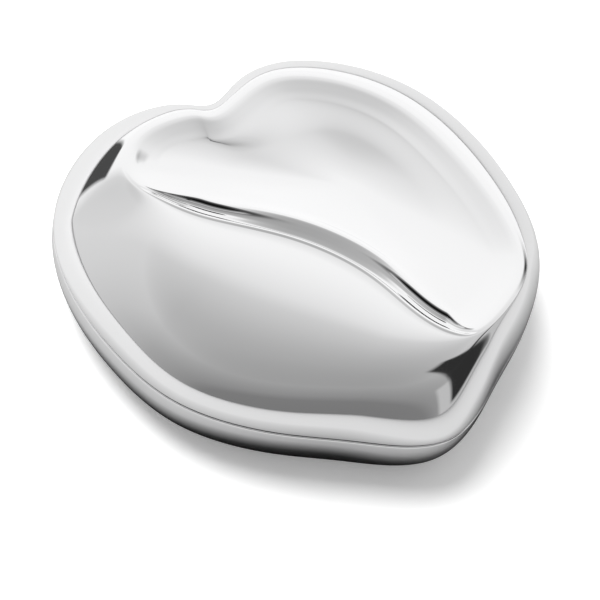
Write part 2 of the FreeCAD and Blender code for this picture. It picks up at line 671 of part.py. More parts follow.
def gear_train():
    add("cylinder_pinion", in_movement(cylinder_pinion()))
    gear = train_gear(TRAIN_TEETH, TRAIN_R, SHAFT_R, TRAIN_U[1] - TRAIN_U[0], 90)
    add("cylinder_gear", in_movement(along_u(gear, TRAIN_U[0], 0, AXIS_Z)))
    pinion = train_gear(TRAIN_PINION_TEETH, TRAIN_PINION_R, GOVERNOR_SHAFT_R, TRAIN_U[1] - TRAIN_U[0],
                        270 + 180.0 / TRAIN_PINION_TEETH)
    add("governor_pinion", in_movement(along_u(pinion, TRAIN_U[0], GOVERNOR_V, AXIS_Z)))
    wheel = toothed_disc(WORM_WHEEL_TEETH, WORM_WHEEL_R + 0.4, WORM_WHEEL_R - 0.6, 0.3, 0.66,
                         WORM_WHEEL_U[1] - WORM_WHEEL_U[0], 90).cut(rod(GOVERNOR_SHAFT_R, -1, 3))
    add("worm_wheel", in_movement(along_u(wheel, WORM_WHEEL_U[0], GOVERNOR_V, AXIS_Z)))
    add("governor_shaft", in_movement(rod_u(GOVERNOR_SHAFT_R, 33.7, 40.3, GOVERNOR_V)))
    add("worm_shaft", in_movement(worm_shaft()))
    add("air_brake", in_movement(air_brake()))


# ---- Lid-operated stop ----
def at_plunger(shape):
    shape.translate(Vector(PLUNGER[0], PLUNGER[1], 0))
    return shape


def stop():
    floor = PAD_T + SKIN
    guide = rod(GUIDE_R, floor, 14.6)
    guide = guide.cut(rod(GUIDE_R - 0.9, floor + 1.0, 13.6)).cut(rod(PLUNGER_R + RUN, 13, 15))
    add("plunger_guide", at_plunger(guide))
    plunger = rod(PLUNGER_R, 6.0, PLUNGER_TOP).fuse(rod(GUIDE_R - 1.1, 10.0, 10.8)).removeSplitter()
    crown = [e for e in plunger.Edges if e.BoundBox.ZMin > PLUNGER_TOP - 0.1]
    add("stop_plunger", at_plunger(plunger.makeFillet(0.7, crown)))
    add("plunger_spring", at_plunger(coil(0.2, 1.5, 1.1, 5.4, floor + 1.3)))
    fan_x, fan_y = movement_point(WORM_U, WORM_V)
    reach = Vector(fan_x - PLUNGER[0], fan_y - PLUNGER[1], 0)
    way = Vector(reach).normalize()
    start = Vector(PLUNGER[0], PLUNGER[1], 15.7) + way * PLUNGER_R
    wire = Part.makeCylinder(0.3, reach.Length - BRAKE_DISC_R - 0.15 - PLUNGER_R, start, way)
    collar = rod(1.7, 15.2, 16.4, *PLUNGER).cut(rod(PLUNGER_R, 15, 17, *PLUNGER))
    add("stop_wire", collar.fuse(wire.cut(rod(PLUNGER_R, 15, 17, *PLUNGER))))


# ---- Tray, cover and lining ----
def jewel_tray():
    deck_top = DECK_Z + DECK_T
    low = PAD_T + SKIN + 0.8
    deck = loop_prism(scaled(GIRTH, DECK_SCALE), DECK_Z, deck_top)
    side = box((-80, PAN_X), (-80, 80), (0, 40))
    pan = loft([(scaled(GIRTH, 0.80), low),
                (scaled(GIRTH, 0.885), low + 4),
                (scaled(GIRTH, 0.92), DECK_Z + 0.5)])
    hollow = loft([(scaled(GIRTH, 0.78), low + 1.2),
                   (scaled(GIRTH, 0.865), low + 5),
                   (scaled(GIRTH, 0.90), deck_top + 1)])
    hollow = hollow.common(box((-80, PAN_X - 1.4), (-80, 80), (0, 40)))
    body = deck.fuse(pan.common(side)).cut(hollow)
    hole = rounded_box((COVER_U[0] + 1, COVER_U[1] - 1), (COVER_V[0] + 1, COVER_V[1] - 1), (0, 20), 3.0)
    body = body.cut(in_movement(hole))
    body = body.cut(rod(GUIDE_R + 0.1, DECK_Z - 1, deck_top + 1, *PLUNGER))
    body = body.cut(in_hinge(box((-HINGE_HALF - 1, HINGE_HALF + 1), (-LEAF_IN - 3, 5), (-6, 6))))
    return max(body.Solids, key=lambda s: s.Volume)


def movement_cover():
    low = DECK_Z + DECK_T
    outer = rounded_box(COVER_U, COVER_V, (low, COVER_TOP), 4.0)
    top = [e for e in outer.Edges if e.BoundBox.ZMin > COVER_TOP - 0.1]
    outer = outer.makeFillet(1.5, top)
    inner = rounded_box((COVER_U[0] + COVER_T, COVER_U[1] - COVER_T),
                        (COVER_V[0] + COVER_T, COVER_V[1] - COVER_T),
                        (low - 1, COVER_TOP - COVER_T), 3.0)
    body = in_movement(outer.cut(inner))
    fan_x, fan_y = movement_point(WORM_U, WORM_V)
    slot_x = (fan_x + PLUNGER[0]) / 2
    return body.cut(box((slot_x - 1.4, slot_x + 1.8), (fan_y, PLUNGER[1] + 2), (low - 1, low + 4.5)))


def linings():
    add("jewel_tray", jewel_tray())
    add("movement_cover", movement_cover())
    add("lid_liner", loop_prism(scaled(CREST, 0.80, DISH_CENTRE), LINER_Z, LINER_Z + LINER_T))


def build():
    case()
    hinge()
    movement_frame()
    spring_drive()
    sound()
    gear_train()
    stop()
    linings()
    os.makedirs("parts", exist_ok=True)
    for name, shape in NODES.items():
        valid = all(s.isValid() and s.isClosed() for s in shape.Solids)
        print(name, len(shape.Solids), round(shape.Volume, 1), "ok" if valid and shape.Solids else "BAD")
        shape.exportStep(os.path.join("parts", name + ".step"))


build()
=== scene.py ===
import json
import math

import bmesh
import bpy
import numpy as np
from mathutils import Matrix, Vector


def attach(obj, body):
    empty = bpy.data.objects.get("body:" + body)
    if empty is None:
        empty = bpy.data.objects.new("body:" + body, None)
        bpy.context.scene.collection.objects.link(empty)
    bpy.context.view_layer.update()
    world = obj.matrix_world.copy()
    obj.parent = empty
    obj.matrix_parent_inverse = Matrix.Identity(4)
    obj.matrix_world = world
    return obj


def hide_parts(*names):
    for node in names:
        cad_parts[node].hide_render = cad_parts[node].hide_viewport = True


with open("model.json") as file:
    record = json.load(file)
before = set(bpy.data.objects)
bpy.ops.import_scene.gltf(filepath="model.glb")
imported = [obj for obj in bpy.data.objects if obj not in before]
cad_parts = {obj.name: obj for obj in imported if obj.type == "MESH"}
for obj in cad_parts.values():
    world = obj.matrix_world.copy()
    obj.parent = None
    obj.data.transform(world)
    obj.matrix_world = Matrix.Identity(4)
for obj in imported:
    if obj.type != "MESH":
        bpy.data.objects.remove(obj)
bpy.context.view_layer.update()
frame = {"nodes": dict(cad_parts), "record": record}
NODES = frame["nodes"]
MM = 0.001

# ---- The case's shape in millimetres ----
# Outlines and heights are the frame's; the wall and the groove are drawn finer here.
GIRTH_Z = 18.0
SEAM_GAP = 0.4
CREST_Z = 37.0
PAD_T = 0.8
WALL = 1.9
SKIN = 1.6
BOTTOM_R = 15.0
BOTTOM_PULL = 0.2
ARBOR = (12.0, -12.0)
WELL_OUT_R = 17.0
WELL_IN_R = 15.5
WELL_ROOF_Z = 9.0
WELL_TOP_Z = 10.5
WELL_ROUND = 0.6
WELL_TOP_ROUND = 0.3
ARBOR_HOLE_R = 2.1
DISH_CENTRE = np.array([13.0, 7.5])
GIRTH_HALF = [(0, 54), (12, 59.3), (29, 59.5), (45.5, 50.3), (57, 36), (62.3, 17.5), (62, -2.8),
              (55.5, -24.3), (39.5, -41.5), (22, -53), (0, -63)]
CREST = [(-7.1, 41.9), (4.9, 46), (17.4, 45.8), (30.4, 37.7), (39.7, 24.6), (43.7, 9.4), (44.7, -6.6),
         (43.4, -22.6), (37.9, -36.6), (24.9, -45.6), (10.9, -48.1), (2.9, -36.6), (-1.6, -20.6),
         (-13.1, -3.1), (-29.1, 11.4), (-37.1, 22.4), (-40.1, 33.4), (-31.6, 43.2), (-19.1, 45.2),
         (-12.1, 43.4)]
AROUND = 960            # points round each row of the case's surfaces

# The edge beside the seam: way in from the outline, and distance from the seam.
EDGE_ROUND = [(0.02, 0.25), (0.1, 0.1), (0.25, 0.02), (0.4, 0), (1.5, 0), (1.8, 0.05), (1.9, 0.2)]
LID_EDGE = [(0, 0.4)] + EDGE_ROUND
BASE_EDGE = [(0, 1.2), (0, 0.5)] + EDGE_ROUND
LIP = 0.5               # height of the lid's edge below the start of its curved wall

# The key well's section as radius and height, inside from the roof down, outside from the floor up.
WELL_INSIDE = [(ARBOR_HOLE_R, WELL_ROOF_Z), (5, WELL_ROOF_Z), (10, WELL_ROOF_Z),
               (WELL_IN_R - WELL_ROUND, WELL_ROOF_Z),
               (WELL_IN_R - WELL_ROUND / 4, WELL_ROOF_Z - WELL_ROUND / 4),
               (WELL_IN_R, WELL_ROOF_Z - WELL_ROUND), (WELL_IN_R, 6), (WELL_IN_R, 3),
               (WELL_IN_R, PAD_T + WELL_ROUND), (WELL_IN_R + WELL_ROUND / 4, PAD_T + WELL_ROUND / 4),
               (WELL_IN_R + WELL_ROUND, PAD_T)]
WELL_OUTSIDE = [(WELL_OUT_R, 5), (WELL_OUT_R, 9), (WELL_OUT_R, WELL_TOP_Z - WELL_TOP_ROUND),
                (WELL_OUT_R - WELL_TOP_ROUND, WELL_TOP_Z), (8, WELL_TOP_Z), (ARBOR_HOLE_R, WELL_TOP_Z)]
BOWL_ROWS = 26          # rows up the base's rounded side, outside
BOWL_INSIDE_ROWS = 14
FLAT_ROWS = 8           # rows across each flat face of the base

# The lid's wall is a quarter of a superellipse; its power is higher, so fuller, on the near side.
WALL_POWER_FAR = 1.4
WALL_POWER_NEAR = 2.6
NEAR_SPAN = (9.5, 11.2, 13.5, 15.8)
WALL_ROWS = 60
# Height against the way in from the crest, on the far side and on the near side.
RIM = [(0, 0), (1.2, 0.1), (2.6, 0.0), (4.4, -0.3), (6.5, -0.65), (9.0, -1.0)]
SILL = [(0, 0), (0.9, 0.08), (1.8, 0.0), (3.0, -0.22), (4.6, -0.5), (6.4, -0.78), (9.0, -1.13)]
# The groove's drop below the sill, where its far edge is crisp and where it is soft.
DIP_CRISP = [(0, 0), (1.3, 0), (1.9, -0.4), (2.3, -1.2), (2.8, -1.8), (3.8, -2.1), (5.0, -2.0), (6.0, -1.8),
             (6.5, -1.4), (6.85, -0.6), (7.1, -0.08), (7.4, 0), (9.0, 0)]
DIP_SOFT = [(0, 0), (1.3, 0), (1.9, -0.6), (2.3, -1.6), (2.9, -2.3), (3.8, -2.4), (5.0, -1.9), (6.2, -1.2),
            (7.4, -0.5), (8.2, -0.12), (9.0, 0)]
# Painted shadow line in the corner under the groove's crisp far edge: way in, half width.
CORNER_LINE = (6.85, 0.22)
CREST_ROWS = 72
DISH_DEPTH = 3.6
DISH_ROWS = 40
DISH_INNERMOST = 0.97   # share of the way to the centre at the innermost row
DISH_BUNCHING = 1.3     # over one draws the rows together towards the crest
EASE_REACH = 260        # points over which the dish's outline is eased away from the cleft
EASED_BY = 0.3          # share of the way to the centre by which the cleft is filled out
TO_CENTRE = 0.35        # share of the way in that points at the dish's centre
LINING_ROOM = 0.6
CEILING_Z = CREST_Z - DISH_DEPTH - SKIN - LINING_ROOM
INSIDE_TURNS = (0.05, 1.35)     # radians up the wall between which the lid's inside follows it
INSIDE_ROWS = 20
CEILING_SHARES = (0.06, 0.12, 0.2, 0.3, 0.5, 0.8)
CEILING_REACHED = 0.2   # share of the way in where the inside is down to its ceiling
# Stations, counted along CREST: the sill, the groove and the soft middle of its far edge.
SILL_SPAN = (8.8, 11.2, 14.2, 16.5)
GROOVE_SPAN = (9.7, 10.4, 14.3, 15.5)
GROOVE_END = 7.4        # way in where the groove is over
NARROW = 0.25           # share of its width left where the groove comes to a point
SOFT_SPAN = (11.2, 12.3, 13.0, 14.0)


# ---- Curves and surfaces ----
def girth_points():
    left = [(-x, y) for x, y in reversed(GIRTH_HALF[1:-1])]
    return GIRTH_HALF + left


def closed_spline(points, at):
    """Periodic cubic spline through points, one unit of the parameter per point."""
    p = np.array(points, float)
    n = len(p)
    rows = np.zeros((n, n))
    for i in range(n):
        rows[i, i] = 4
        rows[i, (i + 1) % n] = 1
        rows[i, i - 1] = 1
    slopes = np.linalg.solve(rows, 3 * (np.roll(p, -1, axis=0) - np.roll(p, 1, axis=0)))
    i = np.floor(at).astype(int) % n
    s = (at - np.floor(at))[:, None]
    a, b = p[i], p[(i + 1) % n]
    da, db = slopes[i], slopes[(i + 1) % n]
    return ((2 * s**3 - 3 * s**2 + 1) * a + (s**3 - 2 * s**2 + s) * da
            + (-2 * s**3 + 3 * s**2) * b + (s**3 - s**2) * db)


def smooth_function(points, at):
    """Smooth height through (place, height) pairs."""
    places, heights = np.array(points, float).T
    slopes = np.gradient(heights, places)
    k = np.clip(np.searchsorted(places, at, side="right") - 1, 0, len(places) - 2)
    h = places[k + 1] - places[k]
    s = (at - places[k]) / h
    return ((2 * s**3 - 3 * s**2 + 1) * heights[k] + (s**3 - 2 * s**2 + s) * h * slopes[k]
            + (-2 * s**3 + 3 * s**2) * heights[k + 1] + (s**3 - s**2) * h * slopes[k + 1])


def smooth_step(x, low, high):
    s = np.clip((x - low) / (high - low), 0, 1)
    return s * s * (3 - 2 * s)


def inward(outline):
    """Unit normals pointing into a clockwise outline."""
    along = np.roll(outline, -1, axis=0) - np.roll(outline, 1, axis=0)
    along /= np.linalg.norm(along, axis=1)[:, None]
    return np.stack([along[:, 1], -along[:, 0]], axis=1)


STATION = np.linspace(0, len(CREST), AROUND, endpoint=False)
GIRTH = closed_spline(girth_points(), STATION)
CREST_LINE = closed_spline(CREST, STATION)


def row(outline, height):
    """One closed row of points at one height, or with a height for each point."""
    return np.column_stack([outline, np.broadcast_to(height, len(outline))])


def mesh_object(name, vertices, faces):
    mesh = bpy.data.meshes.new(name)
    mesh.from_pydata([tuple(v) for v in vertices], [], faces)
    mesh.validate()
    mesh.polygons.foreach_set("use_smooth", [True] * len(mesh.polygons))
    piece = bpy.data.objects.new(name, mesh)
    bpy.context.scene.collection.objects.link(piece)
    return piece


def outward(piece):
    """Make a closed mesh's faces point outwards."""
    work = bmesh.new()
    work.from_mesh(piece.data)
    bmesh.ops.recalc_face_normals(work, faces=work.faces)
    work.to_mesh(piece.data)
    work.free()
    return piece


def skin(name, rows, first_pole=None, last_pole=None, joined=False):
    """Closed surface over rows of equal length, ended by poles or joined into a ring."""
    count = len(rows[0])
    vertices = np.concatenate(rows) * MM
    faces = []
    pairs = [(r, r + 1) for r in range(len(rows) - 1)]
    if joined:
        pairs.append((len(rows) - 1, 0))
    for low, high in pairs:
        for i in range(count):
            k = (i + 1) % count
            faces.append((low * count + i, low * count + k, high * count + k, high * count + i))
    vertices = [tuple(v) for v in vertices]
    for pole, r in ((first_pole, 0), (last_pole, len(rows) - 1)):
        if pole is None:
            continue
        vertices.append(tuple(np.array(pole) * MM))
        tip = len(vertices) - 1
        for i in range(count):
            faces.append((r * count + i, r * count + (i + 1) % count, tip))
    return outward(mesh_object(name, vertices, faces))


# ---- Lid ----
def span(limits):
    """One inside a stretch of stations, fading in and out at its ends."""
    return smooth_step(STATION, *limits[:2]) * (1 - smooth_step(STATION, *limits[2:]))


def wall_step(turn):
    """Share of the way in and of the rise, for each point round, at one angle up the wall."""
    near = span(NEAR_SPAN)
    power = WALL_POWER_FAR + (WALL_POWER_NEAR - WALL_POWER_FAR) * near
    way_in = 1 - np.cos(turn) ** (2 / power)
    return way_in[:, None], np.sin(turn) ** (2 / power)


def crest_profile():
    """For each row from the crest inwards, the way in and the rise at every point round."""
    near, groove, middle = [span(limits) for limits in (SILL_SPAN, GROOVE_SPAN, SOFT_SPAN)]
    stretch = NARROW + (1 - NARROW) * groove
    last = RIM[-1][0]
    ways, rises = [], []
    for at in np.linspace(0, last, CREST_ROWS):
        beyond = max(0, at - GROOVE_END) / (last - GROOVE_END)
        way = min(at, GROOVE_END) * stretch + beyond * (last - GROOVE_END * stretch)
        shelf = smooth_function(RIM, way) * (1 - near) + smooth_function(SILL, way) * near
        place = np.array([at])
        dip = smooth_function(DIP_CRISP, place) * (1 - middle) + smooth_function(DIP_SOFT, place) * middle
        ways.append(way[:, None])
        rises.append(shelf + dip * groove)
    return ways, rises


def eased(outline):
    """The outline with its cleft filled out, each point the average of those beside it."""
    window = np.hanning(EASE_REACH)
    window /= window.sum()
    columns = [np.convolve(np.tile(c, 3), window, "same")[AROUND:2 * AROUND] for c in outline.T]
    return np.stack(columns, axis=1)


def way_in():
    """Unit steps from the crest into the dish."""
    to_centre = DISH_CENTRE - CREST_LINE
    to_centre /= np.linalg.norm(to_centre, axis=1)[:, None]
    way = inward(CREST_LINE) * (1 - TO_CENTRE) + to_centre * TO_CENTRE
    return way / np.linalg.norm(way, axis=1)[:, None]


def dish_rows(edge, last_rise):
    """The dish from near its centre out to the foot of the crest."""
    rows = []
    full = eased(edge)
    for share in np.linspace(DISH_INNERMOST, 0, DISH_ROWS) ** DISH_BUNCHING:
        blend = smooth_step(share, 0, EASED_BY)
        outline = edge * (1 - blend) + full * blend
        rise = last_rise - (DISH_DEPTH + last_rise) * np.sin(share * math.pi / 2)
        rows.append(row(outline + (DISH_CENTRE - outline) * share, CREST_Z + rise))
    return rows


def wall_rows(foot):
    """The outside of the lid's wall, from the crest down."""
    rows = []
    for turn in np.linspace(math.pi / 2, 0, WALL_ROWS)[1:-1]:
        share, rise = wall_step(turn)
        rows.append(row(GIRTH + (CREST_LINE - GIRTH) * share, foot + (CREST_Z - foot) * rise))
    return rows


def inside_rows(foot):
    """The inside of the lid, up its wall and in over the lining."""
    rows = []
    for turn in np.linspace(*INSIDE_TURNS, INSIDE_ROWS):
        share, rise = wall_step(turn)
        line = GIRTH + inward(GIRTH) * WALL + (CREST_LINE - GIRTH) * share
        rows.append(row(line, foot + (CREST_Z - SKIN - foot) * rise))
    last = rows[-1]
    start = last[:, :2]
    for share in CEILING_SHARES:
        left = max(0, 1 - share / CEILING_REACHED)
        height = np.minimum(last[:, 2], CEILING_Z + (last[:, 2] - CEILING_Z) * left)
        rows.append(row(start + (DISH_CENTRE - start) * share, height))
    return rows


def lid_rows():
    seam = GIRTH_Z + SEAM_GAP / 2
    way = way_in()
    ways, rises = crest_profile()
    rows = dish_rows(CREST_LINE + way * ways[-1], rises[-1])
    for distance, rise in list(zip(ways, rises))[-2::-1]:
        rows.append(row(CREST_LINE + way * distance, CREST_Z + rise))
    rows += wall_rows(seam + LIP)
    rows += [row(GIRTH + inward(GIRTH) * depth, seam + height) for depth, height in LID_EDGE]
    return rows + inside_rows(seam + LIP)


def painted_corner_shade():
    """How dark the painted shadow line in the groove's far corner is, for each crest row and point round.
    """
    ways = np.linspace(0, RIM[-1][0], CREST_ROWS)
    place, half = CORNER_LINE
    across = np.exp(-((ways - place) / half) ** 2)
    along = span(GROOVE_SPAN) * (1 - span(SOFT_SPAN))
    return across[:, None] * along[None, :]


def lid():
    rows = lid_rows()
    top = (*DISH_CENTRE, CREST_Z - DISH_DEPTH)
    under = (*DISH_CENTRE, CEILING_Z)
    piece = skin("lid_casting", rows, top, under)
    # The painted shadow line in the groove's far corner, kept on the points for the steel's colour.
    shade = np.zeros(len(rows) * AROUND + 2)
    first = DISH_ROWS * AROUND
    painted_shadow = painted_corner_shade()[-2::-1].ravel()
    shade[first:first + len(painted_shadow)] = painted_shadow
    layer = piece.data.attributes.new("painted_shadow", "FLOAT", "POINT")
    layer.data.foreach_set("value", shade)
    return piece


# ---- Base ----
def well_ring(radius, height):
    """A circle round the winding arbor, its points in line with the outline's."""
    centre = np.array(ARBOR)
    spoke = GIRTH - centre
    spoke /= np.linalg.norm(spoke, axis=1)[:, None]
    return row(centre + spoke * radius, height)


def bowl_row(outline, foot, radius, turn):
    """One row of the base's rounded side."""
    factor = 1 - BOTTOM_PULL * (1 - math.sin(turn))
    return row(outline * factor, foot + radius * (1 - math.cos(turn)))


def flat_rows(start, end, height):
    """Rows across a flat face, without the first."""
    return [row(start + (end - start) * share, height) for share in np.linspace(0, 1, FLAT_ROWS)[1:]]


def base_rows():
    """The well's inside, the underside, the outer wall, the inside floor and the well's outside."""
    seam = GIRTH_Z - SEAM_GAP / 2
    floor = PAD_T + SKIN
    normal = inward(GIRTH)
    rows = [well_ring(radius, height) for radius, height in WELL_INSIDE]
    rows += flat_rows(rows[-1][:, :2], GIRTH * (1 - BOTTOM_PULL), PAD_T)
    for turn in np.linspace(0, math.pi / 2, BOWL_ROWS)[1:]:
        rows.append(bowl_row(GIRTH, PAD_T, BOTTOM_R, turn))
    rows += [row(GIRTH + normal * depth, seam - drop) for depth, drop in BASE_EDGE]
    for turn in np.linspace(math.pi / 2, 0, BOWL_INSIDE_ROWS)[1:]:
        rows.append(bowl_row(GIRTH + normal * WALL, floor, BOTTOM_R - 1.0, turn))
    rows += flat_rows(rows[-1][:, :2], well_ring(WELL_OUT_R, floor)[:, :2], floor)
    return rows + [well_ring(radius, height) for radius, height in WELL_OUTSIDE]


def base():
    return skin("base_casting", base_rows(), joined=True)


# ---- Materials ----
POLISHED = (0.93, 0.93, 0.935)
# Near black of the painted shadow line in the groove's far corner.
PAINTED_SHADOW_DARK = (0.012, 0.012, 0.012)
PAINTED_SHADOW_FULL = 0.75      # painted shadow value from which the corner is painted fully dark


def new_material(name, colour, metallic, roughness):
    material = bpy.data.materials.new(name)
    material.use_nodes = True
    shader = material.node_tree.nodes["Principled BSDF"]
    shader.inputs["Base Color"].default_value = (*colour, 1)
    shader.inputs["Metallic"].default_value = metallic
    shader.inputs["Roughness"].default_value = roughness
    return material, material.node_tree, shader


def noise(tree, scale, detail=4.0, stretch=(1, 1, 1), roughness=0.5):
    """Noise over the object's own coordinates; returns its factor output."""
    place = tree.nodes.new("ShaderNodeTexCoord")
    mapping = tree.nodes.new("ShaderNodeMapping")
    mapping.inputs["Scale"].default_value = stretch
    texture = tree.nodes.new("ShaderNodeTexNoise")
    texture.inputs["Scale"].default_value = scale
    texture.inputs["Detail"].default_value = detail
    texture.inputs["Roughness"].default_value = roughness
    tree.links.new(place.outputs["Object"], mapping.inputs["Vector"])
    tree.links.new(mapping.outputs["Vector"], texture.inputs["Vector"])
    return texture.outputs["Fac"]


def spread(tree, value, low, high, start=0.3, end=0.7):
    """Map a factor onto a range of values."""
    node = tree.nodes.new("ShaderNodeMapRange")
    node.inputs["From Min"].default_value = start
    node.inputs["From Max"].default_value = end
    node.inputs["To Min"].default_value = low
    node.inputs["To Max"].default_value = high
    tree.links.new(value, node.inputs["Value"])
    return node.outputs["Result"]


def ramp(tree, value, stops):
    node = tree.nodes.new("ShaderNodeValToRGB")
    elements = node.color_ramp.elements
    while len(elements) < len(stops):
        elements.new(0.5)
    for element, (place, colour) in zip(elements, stops):
        element.position = place
        element.color = (*colour, 1)
    tree.links.new(value, node.inputs["Fac"])
    return node.outputs["Color"]


def bump(tree, shader, value, strength, distance):
    node = tree.nodes.new("ShaderNodeBump")
    node.inputs["Strength"].default_value = strength
    node.inputs["Distance"].default_value = distance
    tree.links.new(value, node.inputs["Height"])
    tree.links.new(node.outputs["Normal"], shader.inputs["Normal"])


def polished_steel():
    """Mirror polish with faint haze where it has been handled, and a painted shadow line in the groove's
    far corner.
    """
    material, tree, shader = new_material("polished_steel", POLISHED, 1.0, 0.05)
    # Painted shadow: the groove's far corner is coloured near black.
    painted_shadow = tree.nodes.new("ShaderNodeAttribute")
    painted_shadow.attribute_name = "painted_shadow"
    shade = ramp(tree, painted_shadow.outputs["Fac"], [(0.0, POLISHED), (PAINTED_SHADOW_FULL, PAINTED_SHADOW_DARK)])
    tree.links.new(shade, shader.inputs["Base Color"])
    haze = noise(tree, scale=60, detail=6, roughness=0.6)
    tree.links.new(spread(tree, haze, low=0.035, high=0.075), shader.inputs["Roughness"])
    return material


def metal(name, colour, dark, roughness, grain, stretch=(1, 1, 1), relief=0.15):
    """Metal with grain, tarnish and uneven polish."""
    material, tree, shader = new_material(name, colour, 1.0, roughness)
    fine = noise(tree, scale=grain, detail=5, stretch=stretch, roughness=0.6)
    tarnish = noise(tree, scale=220, detail=3)
    tree.links.new(ramp(tree, tarnish, [(0.3, dark), (0.62, colour)]), shader.inputs["Base Color"])
    tree.links.new(spread(tree, fine, roughness * 0.7, roughness * 1.5), shader.inputs["Roughness"])
    bump(tree, shader, fine, strength=relief, distance=0.00004)
    return material


def plastic(name, colour, shade, roughness):
    material, tree, shader = new_material(name, colour, 0.0, roughness)
    patches = noise(tree, scale=150, detail=3)
    tree.links.new(ramp(tree, patches, [(0.3, shade), (0.7, colour)]), shader.inputs["Base Color"])
    grain = noise(tree, scale=900, detail=4)
    tree.links.new(spread(tree, grain, roughness * 0.8, roughness * 1.2), shader.inputs["Roughness"])
    return material


def pile(name, colour, light, scale, sheen):
    """Velvet or felt: short fibres, soft sheen, pressed patches."""
    material, tree, shader = new_material(name, colour, 0.0, 0.9)
    shader.inputs["Sheen Weight"].default_value = sheen
    shader.inputs["Sheen Roughness"].default_value = 0.4
    shader.inputs["Specular IOR Level"].default_value = 0.15
    patches = noise(tree, scale=45, detail=4)
    tree.links.new(ramp(tree, patches, [(0.35, colour), (0.72, light)]), shader.inputs["Base Color"])
    fibres = noise(tree, scale=scale, detail=3, roughness=0.8)
    bump(tree, shader, fibres, strength=0.5, distance=0.00025)
    return material


def clear_cover():
    """Clear acrylic, slightly rubbed."""
    material, tree, shader = new_material("clear_cover", (0.96, 0.98, 0.985), 0.0, 0.05)
    shader.inputs["Transmission Weight"].default_value = 0.95
    shader.inputs["IOR"].default_value = 1.49
    haze = noise(tree, scale=90, detail=4)
    tree.links.new(spread(tree, haze, low=0.03, high=0.08), shader.inputs["Roughness"])
    return material


def make_materials():
    steel = (0.62, 0.62, 0.63)
    return {
        "polished_steel": polished_steel(),
        "hinge_steel": metal("hinge_steel", (0.70, 0.70, 0.71), (0.55, 0.55, 0.56), 0.22, 900, (1, 6, 1)),
        "screw_steel": metal("screw_steel", steel, (0.45, 0.45, 0.46), 0.28, 1500),
        "comb_steel": metal("comb_steel", (0.66, 0.66, 0.68), (0.5, 0.5, 0.53), 0.22, 1400, (8, 1, 1)),
        "spring_steel": metal("spring_steel", (0.34, 0.36, 0.42), (0.2, 0.22, 0.3), 0.3, 1100),
        "zinc": metal("zinc", (0.50, 0.50, 0.52), (0.38, 0.38, 0.40), 0.45, 700, relief=0.4),
        "brass": metal("brass", (0.80, 0.60, 0.28), (0.62, 0.44, 0.18), 0.2, 1300, (1, 8, 1)),
        "gear_brass": metal("gear_brass", (0.76, 0.56, 0.26), (0.58, 0.42, 0.18), 0.24, 1500),
        "nylon": plastic("nylon", (0.86, 0.84, 0.78), (0.76, 0.74, 0.67), 0.4),
        "rubber": plastic("rubber", (0.03, 0.03, 0.03), (0.05, 0.05, 0.05), 0.8),
        "felt": pile("felt", (0.05, 0.05, 0.055), (0.09, 0.09, 0.095), 2500, 0.25),
        "velvet": pile("velvet", (0.018, 0.024, 0.05), (0.045, 0.055, 0.10), 3200, 1.0),
        "clear_cover": clear_cover(),
    }


def dress_frame(materials):
    """Give every CAD node that stays its own material slot's look."""
    slots = {p["node"]: p["material_slot"] for p in frame["record"]["subparts"]}
    for name, node in NODES.items():
        node.data.materials.clear()
        node.data.materials.append(materials[slots[name]])


# ---- Soft pieces ----
def soft_copy(name, node, voxel, relax):
    """A padded, round-edged copy of a plain CAD solid."""
    piece = bpy.data.objects.new(name, NODES[node].data.copy())
    bpy.context.scene.collection.objects.link(piece)
    piece.data.materials.clear()
    remesh = piece.modifiers.new("remesh", "REMESH")
    remesh.mode = "VOXEL"
    remesh.voxel_size = voxel
    remesh.use_smooth_shade = True
    smooth = piece.modifiers.new("smooth", "SMOOTH")
    smooth.iterations = relax
    smooth.factor = 0.5
    apply_modifiers(piece)
    return piece


def apply_modifiers(piece):
    graph = bpy.context.evaluated_depsgraph_get()
    graph.update()
    made = bpy.data.meshes.new_from_object(piece.evaluated_get(graph))
    piece.modifiers.clear()
    piece.data = made


# ---- Studio ----
# The floor's painted grey for reflections, a painted shadow from dark under the case to lighter outwards,
# and the painted glow that lifts it to the eye.
FLOOR_PAINTED_SHADE = [(0.0, 0.03), (0.16, 0.06), (0.36, 0.34), (0.8, 0.52)]
FLOOR_PAINTED_GLOW = 0.2
FOOT_SPAN = (0.050, 0.100)      # metres from the middle between which that painted shadow changes
FLOOR_HALF = 6.0
KEY_PLACE = (-0.2, 0.4, 0.9)
KEY_SIZE = 0.8
KEY_POWER = 14


def studio():
    h = FLOOR_HALF
    floor = mesh_object("floor", [(-h, -h, 0), (h, -h, 0), (h, h, 0), (-h, h, 0)], [(0, 1, 2, 3)])
    floor.data.materials.append(floor_material())
    world = bpy.data.worlds.new("studio")
    bpy.context.scene.world = world
    world.use_nodes = True
    tree = world.node_tree
    background = tree.nodes["Background"]
    tree.links.new(sky(tree), background.inputs["Color"])
    background.inputs["Strength"].default_value = 1.0
    sun = bpy.data.lights.new("key", "AREA")
    sun.shape = "DISK"
    sun.size = KEY_SIZE
    sun.energy = KEY_POWER
    lamp = bpy.data.objects.new("key", sun)
    lamp.location = KEY_PLACE
    lamp.rotation_euler = (Vector((0, 0, 0)) - lamp.location).to_track_quat("-Z", "Y").to_euler()
    lamp.visible_glossy = False
    lamp.visible_transmission = False
    bpy.context.scene.collection.objects.link(lamp)


